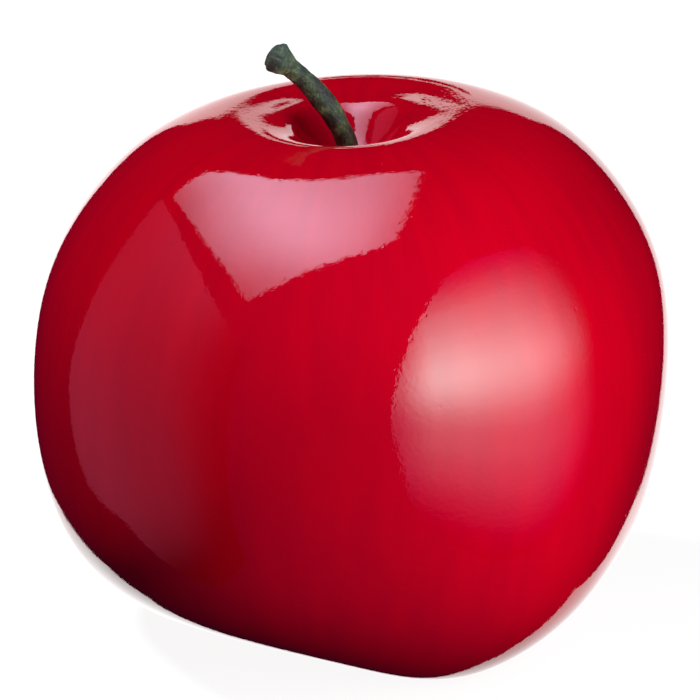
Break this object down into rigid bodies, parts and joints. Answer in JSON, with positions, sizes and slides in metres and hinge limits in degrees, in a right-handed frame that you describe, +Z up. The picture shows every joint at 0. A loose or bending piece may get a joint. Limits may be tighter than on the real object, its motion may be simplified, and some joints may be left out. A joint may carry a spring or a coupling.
{
  "type": "apple",
  "caption": "Whole red eating apple with a bent woody stalk in its pit and a dried blossom end in its base, resting on low lobes.",
  "frame": {"origin": "on the surface that the apple rests on, under the middle of its outline", "axes": "+Z up, through the pit and the eye to within a few degrees; the stalk leans towards -X and -Y; -Y faces the viewer"},
  "size_m": [0.0847, 0.0841, 0.0828],
  "materials": {
    "skin": "deep red waxed skin with a very high gloss",
    "stalk": "rough, dull, grey-green and brown-black",
    "eye": "dry, dull, brown"
  },
  "bodies": {
    "root": {"fruit": "skin", "stalk": "stalk", "eye": "eye"}
  },
  "joints": []
}
